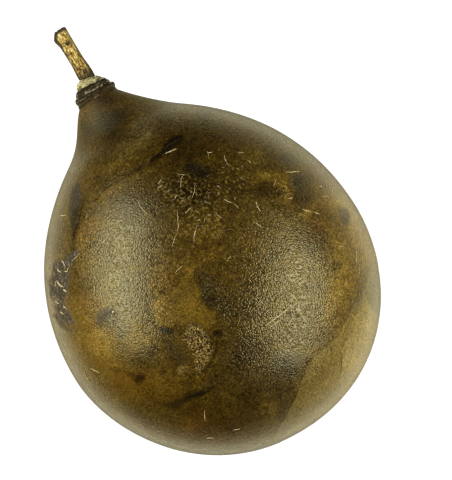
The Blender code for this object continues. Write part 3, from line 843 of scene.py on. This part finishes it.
def growTracks(target, name, material):
    board = Growth(name + " growth")
    surface = board.ask("Rind", "Object", target)
    density = board.ask("Density", "Float", scratches["perSquareMetre"])
    shortest = board.ask("Shortest", "Float", scratches["lengths"][0])
    longest = board.ask("Longest", "Float", scratches["lengths"][1])
    thin = board.ask("Thinnest", "Float", scratches["girths"][0])
    thick = board.ask("Thickest", "Float", scratches["girths"][1])
    ground = board.node("GeometryNodeObjectInfo", None, {0: surface}, "Geometry")
    onScab = board.field("scab").ease(0.3, 0.9)
    where = (board.field("scuff") + onScab * scratches["onScab"]).atLeast(0.0)
    spread = {"Mesh": ground, "Density": where * density, "Seed": scratches["seed"]}
    scatter = board.node("GeometryNodeDistributePointsOnFaces", None, spread)
    normal = Wire(board, scatter.socket.node.outputs["Normal"])
    upright = board.node("FunctionNodeAlignRotationToVector", {"axis": "Z"}, {"Vector": normal})
    spin = {"Axis": (0, 0, 1), "Angle": board.random(0, 3.14, 1)}
    turn = board.node("FunctionNodeAxisAngleToRotation", None, spin)
    aimed = board.node("FunctionNodeRotateRotation", {"rotation_space": "LOCAL"}, {0: upright, 1: turn})
    scaled = board.vector(board.random(0.0, 1.0, 2).power(2.0) * (longest - shortest) + shortest, 1.0, 1.0)
    girth = board.random(0.0, 1.0, 3) * (thick - thin) + thin
    pale = board.random(0.15, 0.95, 4) * (1 - onScab * board.random(0.0, 1.3, 6).atMost(1.0))
    sown = scatter
    for field, value in (("girth", girth), ("tint", pale)):
        keep = {"Geometry": sown, "Name": field, "Value": value}
        sown = board.node("GeometryNodeStoreNamedAttribute", {"data_type": "FLOAT", "domain": "POINT"}, keep)
    unitLine = {"Count": 5, "Start Location": (-0.5, 0, 0), "Offset": (0.25, 0, 0)}
    strand = board.node("GeometryNodeMeshLine", None, unitLine)
    spread = {"Points": sown, "Instance": strand, "Rotation": aimed, "Scale": scaled}
    sown = board.node("GeometryNodeInstanceOnPoints", None, spread)
    sown = board.node("GeometryNodeRealizeInstances", None, {0: sown})
    both = board.node("GeometryNodeJoinGeometry", None, {0: sown})
    board.tree.links.new(board.start.socket, both.socket.node.inputs[0])
    curves = board.node("GeometryNodeMeshToCurve", None, {0: both})
    steps = {"Curve": curves, "Length": scratches["step"]}
    curves = board.node("GeometryNodeResampleCurve", {"mode": "LENGTH"}, steps)
    wander = board.noise(board.place(), 2.5, 2, 0.5, 0, 1)
    wander = board.node("ShaderNodeVectorMath", {"operation": "SUBTRACT"}, {0: wander, 1: (0.5, 0.5, 0.5)})
    curves = board.pushed(curves, board.scaled(wander, scratches["wander"]))

    def nearest(value):
        sockets = {"Mesh": ground, "Value": value}
        return board.node("GeometryNodeSampleNearestSurface", {"data_type": "FLOAT_VECTOR"}, sockets)

    curves = board.moved(curves, nearest(board.position()))
    level = nearest(board.node("GeometryNodeInputNormal"))
    curves = board.node("GeometryNodeSetCurveNormal", {"mode": "FREE"}, {"Curve": curves, "Normal": level})
    along = board.node("GeometryNodeSplineParameter")
    radius = (along * math.pi).sine().atLeast(0.02).power(0.7) * board.field("girth")
    radius = radius.atLeast(0.01 * mm)
    curves = board.node("GeometryNodeSetCurveRadius", None, {"Curve": curves, "Radius": radius})
    section = board.node("GeometryNodeCurvePrimitiveQuadrilateral", {"mode": "RECTANGLE"}, {0: 2.0, 1: 0.9})
    tubes = {"Curve": curves, "Profile Curve": section, "Fill Caps": True, "Scale": radius}
    board.end(board.node("GeometryNodeCurveToMesh", None, tubes), material)
    return board.grow(trackLines(target), name)


tracks = growTracks(rind, "paleScratches", trackMaterial())
print("scratches grown,", len(tracks.data.polygons), "faces")


# Crust flakes: small pale scales scattered where the crust field is high

flakes = {
    "perSquareMetre": 520000.0,
    "sizes": (0.12 * mm, 0.34 * mm),
    "seed": 3,
    "dark": (0.06, 0.036, 0.006),
    "pale": (0.40, 0.29, 0.06),
}


def flakeMaterial():
    board = Surface("crust flakes", 0.42, skin["gloss"])
    shade = board.noise(board.place, 1.1, 2)
    board.feed("Base Color", board.mix(shade.ease(0.4, 0.65), flakes["dark"], flakes["pale"]))
    return board.material


def growFlakes(target, name, material):
    board = Growth(name + " growth")
    surface = board.ask("Rind", "Object", target)
    density = board.ask("Density", "Float", flakes["perSquareMetre"])
    smallest = board.ask("Smallest", "Float", flakes["sizes"][0])
    largest = board.ask("Largest", "Float", flakes["sizes"][1])
    ground = board.node("GeometryNodeObjectInfo", None, {0: surface}, "Geometry")
    crusted = board.field("crust").ease(0.35, 0.9)
    spread = {"Mesh": ground, "Density": crusted * density, "Seed": flakes["seed"]}
    scatter = board.node("GeometryNodeDistributePointsOnFaces", None, spread)
    turn = Wire(board, scatter.socket.node.outputs["Rotation"])
    long = board.random(0.0, 1.0, 1).power(2.0) * (largest - smallest) + smallest
    scale = board.vector(long * board.random(0.9, 1.8, 2), long, long * 0.28)
    grit = board.node("GeometryNodeMeshIcoSphere", None, {"Radius": 1.0, "Subdivisions": 2})
    spread = {"Points": scatter, "Instance": grit, "Rotation": turn, "Scale": scale}
    sown = board.node("GeometryNodeInstanceOnPoints", None, spread)
    spin = {0: sown, "Rotation": board.vector(0.0, 0.0, board.random(0.0, 6.28, 3))}
    board.end(board.node("GeometryNodeRotateInstances", None, spin), material)
    return board.grow(addObject(name + " seedbed", bpy.data.meshes.new("seedbed")), name)


crustFlakes = growFlakes(rind, "crustFlakes", flakeMaterial())
print("flakes grown,", len(crustFlakes.data.polygons), "faces")


# Where the rim, the cushion and the stem sit, each on the one before

stack = {
    "bossRadius": 0.0083,
    "bossHeight": 0.0010,
    "gap": 0.0003,
    "rimShift": -0.0003,
    "cushionShift": 0.0003,
    "cushionSink": 0.0010,
    "stemShift": -0.0002,
    "stemSink": 0.0013,
    "stemTilt": math.radians(1.5),
}

rim = {
    "radius": 0.0105,
    "height": 0.0060,
    "lowerRoll": ((-0.0018, 0.0018), (0.0018, 0.0021)),  # middle from the outer edge, radii
    "upperRoll": ((-0.0030, 0.0039), (0.0017, 0.0021)),
    "skirt": ((0.0080, 0.0006), (0.0098, -0.0010), (0.0103, -0.0013)),
    "sides": 300,
    "rings": 130,
    "wrinkle": 0.30 * mm,
    "bark": [(0.0, (0.002, 0.0015, 0.0005)), (0.52, (0.008, 0.006, 0.002)), (0.62, (0.030, 0.022, 0.009)),
             (0.74, (0.15, 0.117, 0.062)), (0.95, (0.36, 0.30, 0.18))],
    "skinLike": (0.027, 0.016, 0.002),  # at the foot
    "leftEnd": (0.045, 0.043, 0.022),
    # colour of the painted shade in the crease between the rolls and at the top seam with the cushion
    "creaseAndSeamShade": (0.005, 0.0035, 0.0015),
}

cushion = {
    "radius": 0.0076,
    "height": 0.0047,
    "stemSeat": 0.0056,
    "slant": math.radians(8.0),
    "sides": 240,
    "rings": 110,
    "grain": 0.22 * mm,
    "cork": [(0.34, (0.024, 0.018, 0.005)), (0.47, (0.10, 0.083, 0.027)), (0.56, (0.24, 0.212, 0.083)),
             (0.74, (0.52, 0.47, 0.24))],
}

stem = {
    "radius": 0.0035,
    "footRadius": 0.0041,
    "length": 0.0262,
    "ribs": 5,
    "ribHeight": 0.00022,
    "footSlant": math.radians(11.0),
    "cutSlant": 0.03,
    "tipRise": 0.0008,
    "breakFrom": -0.0019,
    "breakSlant": 1.2,
    "sides": 220,
    "rings": 260,
    "fibre": 0.22 * mm,
    "knotDepth": 0.9 * mm,
    "wood": [(0.30, (0.018, 0.011, 0.003)), (0.43, (0.095, 0.056, 0.010)), (0.53, (0.26, 0.175, 0.034)),
             (0.66, (0.50, 0.38, 0.11)), (0.80, (0.74, 0.64, 0.32))],
    "rusty": (0.95, 0.68, 0.42),
    # dark colour for the painted shade on the stem's sides and in its knot hole, and for its darker foot and
    # broken end
    "shadeAndGrime": (0.014, 0.010, 0.004),
}


def seatOn(below, x, y, turn=0.0):
    return below @ Matrix.Translation((x, y, 0)) @ Matrix.Rotation(turn, 4, "Z")


neckEnd = (gourd["neckShift"].x, gourd["neckLength"] + gourd["endEdge"][1], axisHeight + gourd["neckShift"].z)
neckSeat = Matrix.Translation(neckEnd) @ Matrix.Rotation(-gourd["neckTilt"], 4, "Z")
rimSeat = seatOn(neckSeat, stack["rimShift"], stack["gap"])
cushionSeat = seatOn(rimSeat, stack["cushionShift"], rim["height"] - stack["cushionSink"] + stack["gap"])
stemSeat = seatOn(cushionSeat, stack["stemShift"], cushion["stemSeat"] - stack["stemSink"] + stack["gap"],
                  stack["stemTilt"] + gourd["neckTilt"])


def rimOutline():
    outer, height = rim["radius"], rim["height"]
    dish = cushion["radius"] + stack["gap"] - 0.0002
    floor = height - stack["cushionSink"]
    (lowerIn, lowerUp), lowerRadii = rim["lowerRoll"]
    (upperIn, upperUp), upperRadii = rim["upperRoll"]
    outline = [Vector(p) for p in ((0, stack["bossHeight"]), *rim["skirt"])]
    outline += arc((outer + lowerIn, lowerUp), lowerRadii, -40, 62, 24)
    outline += arc((outer + upperIn, upperUp), upperRadii, -12, 90, 20)[:-1]
    return outline + [Vector(p) for p in ((dish + 0.0002, height), (dish, floor), (0, floor))]


def rimRule(board, angle, radius, along):
    edge = radius.ease(stack["bossRadius"] + 0.0012, rim["radius"])
    puff = (angle * 2 + 2.2).sine() * 0.020 + (angle * 5 + 0.9).sine() * 0.014
    swell = puff * edge + 1
    droop = (angle * 3 + 1.4).sine() * edge * 0.00030
    return board.vector(angle.cosine() * radius * swell, along + droop, angle.sine() * radius * swell)


def rimRelief(board):
    place = board.place()
    folds = board.noise(board.stretch(place, (0.6, 1.6, 0.6)), 1.9, 3, 0.55, 0.8)
    pits = board.noise(place, 0.7, 2)
    depth = board.ask("Wrinkle depth", "Float", rim["wrinkle"])
    return (folds + pits * 0.3) * depth * -1


def rimMaterial():
    board = Surface("rim bark", 0.66, (1.0, 0.85, 0.5), mirror=0.14)
    place = board.place
    x, y = place.part(0), place.part(1)
    folds = board.noise(board.stretch(place, (0.35, 1.6, 0.35)), 1.7, 4, 0.6, 0.5)
    speck = board.noise(place, 0.9, 3, 0.6)
    along = y - 109.5 + (x + 2.4) * 0.052  # height above the neck's end
    light = folds * 0.9 + speck * 1.0 - 0.36
    colour = board.ramp(rim["bark"], light)
    middle = 1 - (x + 2.0).size().ease(3.0, 9.0)
    lower = 1 - (along + speck * 1.4).ease(1.4 + 1.0 * middle, 2.6 + 1.2 * middle)
    skinLike = board.tinted(board.grey(speck * 2.6 - 0.55), rim["skinLike"])
    colour = board.mix(lower * 0.85, colour, skinLike)
    colour = board.mix(x.ease(-9.5, -12.0) * 0.5, colour, rim["leftEnd"])
    # Painted shade: darker in the crease between the two rolls and along the top, where the cushion sits in
    # the rim.
    rollCreaseShade = 1 - (along + folds * 1.2 - 3.15).size().ease(0.15, 0.6)
    seamShade = 1 - (1 - along.ease(5.2, 5.9)) * (1 - rollCreaseShade)
    board.feed("Base Color", board.mix(seamShade * 0.8, colour, rim["creaseAndSeamShade"]))
    board.bump(folds * 0.7 + speck * 0.35)
    return board.material


rimBark = turned("gourdRim", rimOutline(), rim, rimRule, rimRelief, rimMaterial())
rimBark.data.transform(rimSeat)


def cushionOutline():
    outer, height, sink = cushion["radius"], cushion["height"], stack["cushionSink"]
    socket = stem["footRadius"] + 0.0003
    brow = Vector((socket + 0.0001, height))
    side = outer - 0.0001
    handleOut, handleIn = Vector((side - 0.0002, 0.0024)), brow + Vector((0.0015, -0.0014))
    outline = [Vector((0, 0)), Vector((side, 0))]
    outline += bezier(Vector((side, sink)), handleOut, handleIn, brow, 40) + [brow]
    floor = height - 0.0007
    return outline + [Vector(p) for p in ((socket, height), (socket - 0.0010, floor), (0, floor))]


def cushionRule(board, angle, radius, along):
    free = along.ease(stack["cushionSink"], 0.0030)
    body = free * (1 - along.ease(0.0041, cushion["height"]))
    lump = body * ((angle * 3 + 0.4).sine() * 0.018 + (angle * 7).sine() * 0.012) + 1
    x = angle.cosine() * radius * lump
    return board.vector(x, along - x * free * math.tan(cushion["slant"]), angle.sine() * radius * lump)


def cushionRelief(board):
    place = board.place()
    grain = board.noise(board.stretch(place, (0.8, 1.5, 0.8)), 1.2, 4, 0.6)
    return board.ask("Grain depth", "Float", cushion["grain"]) * grain * -1


def cushionMaterial():
    board = Surface("cork", 0.75, (1.0, 0.9, 0.6), mirror=0.3)
    place = board.place
    along = place.part(1) - 115.2 + (place.part(0) + 2.0) * 0.08  # height above the rim's floor
    broad = board.noise(board.stretch(place, (0.6, 1.5, 0.6)), 2.0, 4, 0.6)
    speck = board.noise(board.stretch(place, (0.45, 1.9, 0.45)), 0.9, 3, 0.65)
    # Painted shade: the cushion is darker low down, where it sits in the rim's dish.
    light = broad * 0.6 + speck * 1.3 - 0.40 - (1 - along.ease(0.2, 1.2)) * 0.2
    board.feed("Base Color", board.ramp(cushion["cork"], light))
    board.bump(broad * 0.35 + speck * 0.35)
    return board.material


cork = turned("corkCushion", cushionOutline(), cushion, cushionRule, cushionRelief, cushionMaterial())
cork.data.transform(cushionSeat)


def stemOutline():
    radius, foot, end, sink = stem["radius"], stem["footRadius"], stem["length"], stack["stemSink"]
    shank = Vector((radius, 0.0110))
    tip = Vector((radius + 0.00035, end - 0.0004))
    footTop = Vector((foot, sink + 0.0002))
    outline = [Vector((0, 0)), Vector((foot - 0.0002, 0))]
    outline += bezier(footTop, footTop + Vector((-0.0001, 0.004)), shank - Vector((0, 0.003)), shank, 30)
    outline += bezier(shank, shank + Vector((0, 0.007)), tip - Vector((0.0001, 0.004)), tip, 40)
    pith = ((radius, end), (0.0021, end), (0.0013, end - 0.0007), (0, end - 0.0009))
    return outline + [tip] + [Vector(p) for p in pith]


def stemRule(board, angle, radius, along):
    end = stem["length"]
    free = along.ease(stack["stemSink"], 0.0040)
    flare = along.ease(end - 0.0075, end - 0.0025)
    ridge = (angle * stem["ribs"] + along * 28 + 0.5).cosine() * free * stem["ribHeight"]
    side = flare * (1 - along.ease(end - 0.0040, end) * 0.8) * (angle.cosine() * -1).atLeast(0.0) * 0.0009
    grown = radius + (ridge + side) * radius.ease(0.0, stem["radius"])
    lean = -(stack["stemTilt"] + gourd["neckTilt"])
    footSlant = math.tan(stem["footSlant"] - lean)
    cut = along.ease(end - 0.0080, end) * stem["cutSlant"]
    foot = (1 - along.ease(stack["stemSink"], 0.0080)) * footSlant
    x = angle.cosine() * grown
    broken = (x - stem["breakFrom"]) * stem["breakSlant"] + end + stem["tipRise"]
    y = (along + cut * x + along.ease(end - 0.0060, end) * stem["tipRise"]).atMost(broken) - foot * x
    return board.vector(x, y, angle.sine() * grown)


def stemKnot(x, y, z):  # 1 in the middle of the knot hole, 0 outside; from the stem's own place in mm
    reach = ((x - 0.9) / 1.6).power(2.0) + ((y - 19.1) / 1.35).power(2.0)
    return (1 - reach.power(0.5).ease(0.55, 1.1)) * z.ease(0.5, 1.5)


def stemRelief(board):
    place = board.place()
    x, y, z = (place.part(i) for i in range(3))
    fibre = board.noise(board.stretch(place, (1, 0.12, 1)), 0.9, 3, 0.6)
    broad = board.noise(board.stretch(place, (1, 0.35, 1)), 2.6, 2)
    pits = board.noise(place, 1.5, 3, 0.6).ease(0.45, 0.7) * (1 - y.ease(2.0, 6.5)) * 1.2
    pits = pits + board.noise(place, 1.1, 2).ease(0.45, 0.7) * y.ease(22.5, 25.5) * 1.2
    depth = (fibre * 0.6 + broad * 0.8 + pits) * board.ask("Fibre depth", "Float", stem["fibre"])
    return (depth + stemKnot(x, y, z) * board.ask("Knot depth", "Float", stem["knotDepth"])) * -1


def stemMaterial():
    board = Surface("stem wood", 0.7, (1.0, 0.9, 0.6), mirror=0.25)
    place = board.place
    x, y, z = (place.part(i) for i in range(3))
    fibre = board.noise(board.stretch(place, (1, 0.22, 1)), 0.85, 4, 0.7)
    broad = board.noise(board.stretch(place, (1, 0.5, 1)), 2.2, 3, 0.6)
    speck = board.noise(place, 1.0, 3, 0.65)
    light = fibre * 1.15 + broad * 0.5 + speck * 0.80 - 0.72
    colour = board.ramp(stem["wood"], light)
    rusty = board.noise(board.stretch(place, (1, 0.3, 1)), 2.0, 2).ease(0.47, 0.60) * (1 - y.ease(132, 139))
    colour = board.mix(rusty * 0.7, colour, board.tinted(colour, stem["rusty"]))
    # Painted shade: the stem's sides, away from its middle line as seen from above, are darkened.
    away = (x + 1.95).size() + (speck - 0.5) * 1.8
    shadeAndGrime = away.ease(2.45, 3.3)
    # Darker towards the foot and at the broken end and its upper left facet; painted shade in the knot hole.
    foot = 1 - (y + broad * 3.0 + speck * 5.0).ease(124.5, 130.0)
    tip = (y + speck * 1.8).ease(145.4, 146.0)
    facet = (y - (x + 3.6) * 1.25 + speck * 2.0).ease(144.7, 146.0) * (1 - x.ease(-4.2, -3.2))
    knot = stemKnot(x + 2.35, y - 119.6, z - 77.0) * (0.45 + broad.ease(0.35, 0.6) * 0.7)
    dark = shadeAndGrime * 0.85
    for share in (foot * 0.9, tip * 0.95, facet * 0.8, knot.atMost(1.0)):
        dark = 1 - (1 - dark) * (1 - share)
    board.feed("Base Color", board.mix(dark, colour, stem["shadeAndGrime"]))
    board.bump(fibre * 0.5 + speck * 0.3)
    return board.material


wood = turned("woodyStem", stemOutline(), stem, stemRule, stemRelief, stemMaterial())
wood.data.transform(stemSeat)
print("rim, cushion and stem grown")


pieceRows = (
    (rind, "fruit", "rind"),
    (tracks, "fruit", "rind"),
    (crustFlakes, "fruit", "rind"),
    (rimBark, "rim", "rim_bark"),
    (cork, "cushion", "cork"),
    (wood, "stem", "stem_wood"),
)
for piece, node, slot in pieceRows:
    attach(piece, "root")
    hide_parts(node)


# Studio: a white floor, two tall soft boxes and a room that is pale below and dark overhead

studio = {
    "floorSize": 9.0,
    "floorShade": (0.12, 0.12, 0.12),
    "floorGlow": (0.98, 0.98, 0.98),
    # the room's colours from straight below to straight above, on its two sides
    "leftRoom": [(0.0, (0.10, 0.09, 0.05)), (0.025, (0.12, 0.11, 0.06)), (0.055, (1.74, 1.62, 1.12)),
                 (0.13, (1.62, 1.50, 0.98)), (0.20, (0.42, 0.37, 0.20)), (0.30, (0.11, 0.09, 0.035)),
                 (0.5, (0.06, 0.05, 0.025)), (0.62, (0.034, 0.034, 0.030)), (0.8, (0.03, 0.03, 0.03))],
    "rightRoom": [(0.0, (0.10, 0.09, 0.05)), (0.025, (0.12, 0.11, 0.06)), (0.055, (1.64, 1.55, 1.08)),
                  (0.21, (1.42, 1.34, 0.90)), (0.32, (0.55, 0.49, 0.28)), (0.42, (0.14, 0.12, 0.06)),
                  (0.62, (0.034, 0.034, 0.030)), (0.8, (0.03, 0.03, 0.03))],
    "warm": (0.92, 0.76, 0.38),  # tint of the low left side
    "boxes": (  # name, place (right, up, towards the camera), width, height, power
        ("left soft box", (-0.88, 0.08, 0.46), 0.40, 1.25, 26.25),
        ("right soft box", (0.83, -0.10, 0.56), 0.32, 1.35, 30.0),
    ),
    "boxDistance": 1.1,
}


def whiteFloor():
    mesh = bpy.data.meshes.new("floor")
    half = studio["floorSize"] / 2
    corners = [(x * half, y * half, 0) for x, y in ((-1, -1), (1, -1), (1, 1), (-1, 1))]
    mesh.from_pydata(corners, [], [(0, 1, 2, 3)])
    board = Surface("floor", 0.9, mirror=0.0)
    board.set("Base Color", (*studio["floorShade"], 1))
    board.set("Emission Color", (*studio["floorGlow"], 1))
    board.set("Emission Strength", 1.0)
    mesh.materials.append(board.material)
    floor = addObject("floor", mesh)
    floor.visible_glossy = False  # the room's lower half lights and is mirrored by the gourd instead
    floor.visible_diffuse = False


def softBox(name, place, width, height, power):
    right, up, toward = place
    back = sight["right"] * right + sight["up"] * up + Vector((0, 0, toward))
    back.normalize()
    light = bpy.data.lights.new(name, "AREA")
    light.shape = "RECTANGLE"
    light.size = width
    light.size_y = height
    light.energy = power
    box = addObject(name, light)
    side = sight["up"].cross(back).normalized()
    box.matrix_world = Matrix((side, back.cross(side), back)).transposed().to_4x4()
    box.location = sight["centre"] + back * studio["boxDistance"]


def paleRoom():
    world = bpy.data.worlds.new("room")
    bpy.context.scene.world = world
    world.use_nodes = True
    board = Board(world.node_tree)
    aim = board.node("ShaderNodeTexCoord", None, None, "Generated")
    rise = aim.part(2) * 0.5 + 0.5
    left, right = (board.ramp(studio[side], rise) for side in ("leftRoom", "rightRoom"))
    shade = board.mix((aim.part(0) * 0.866 - aim.part(1) * 0.5).ease(0.0, 1.0), left, right)
    dim = aim.part(1).ease(0.1, 0.9) * 0.42 + aim.part(1).ease(0.6, 0.95) * 0.45  # on the stem's side
    shade = board.mix(dim, shade, (0, 0, 0))
    warm = (aim.part(0) * -0.8 + aim.part(1) * -0.6).ease(0.5, 1.0)
    shade = board.mix(warm, shade, board.tinted(shade, studio["warm"]))
    board.tree.links.new(shade.socket, board.tree.nodes["Background"].inputs["Color"])


def topCamera():
    data = bpy.data.cameras.new("camera")
    data.lens = sight["lens"]
    data.sensor_width = sensorWidth
    camera = addObject("camera", data)
    axes = (sight["right"], sight["up"], Vector((0, 0, 1)))
    camera.matrix_world = Matrix(axes).transposed().to_4x4()
    camera.location = eye
    bpy.context.scene.camera = camera


whiteFloor()
for box in studio["boxes"]:
    softBox(*box)
paleRoom()
topCamera()
bpy.context.scene.view_settings.view_transform = "Standard"
print("studio set")
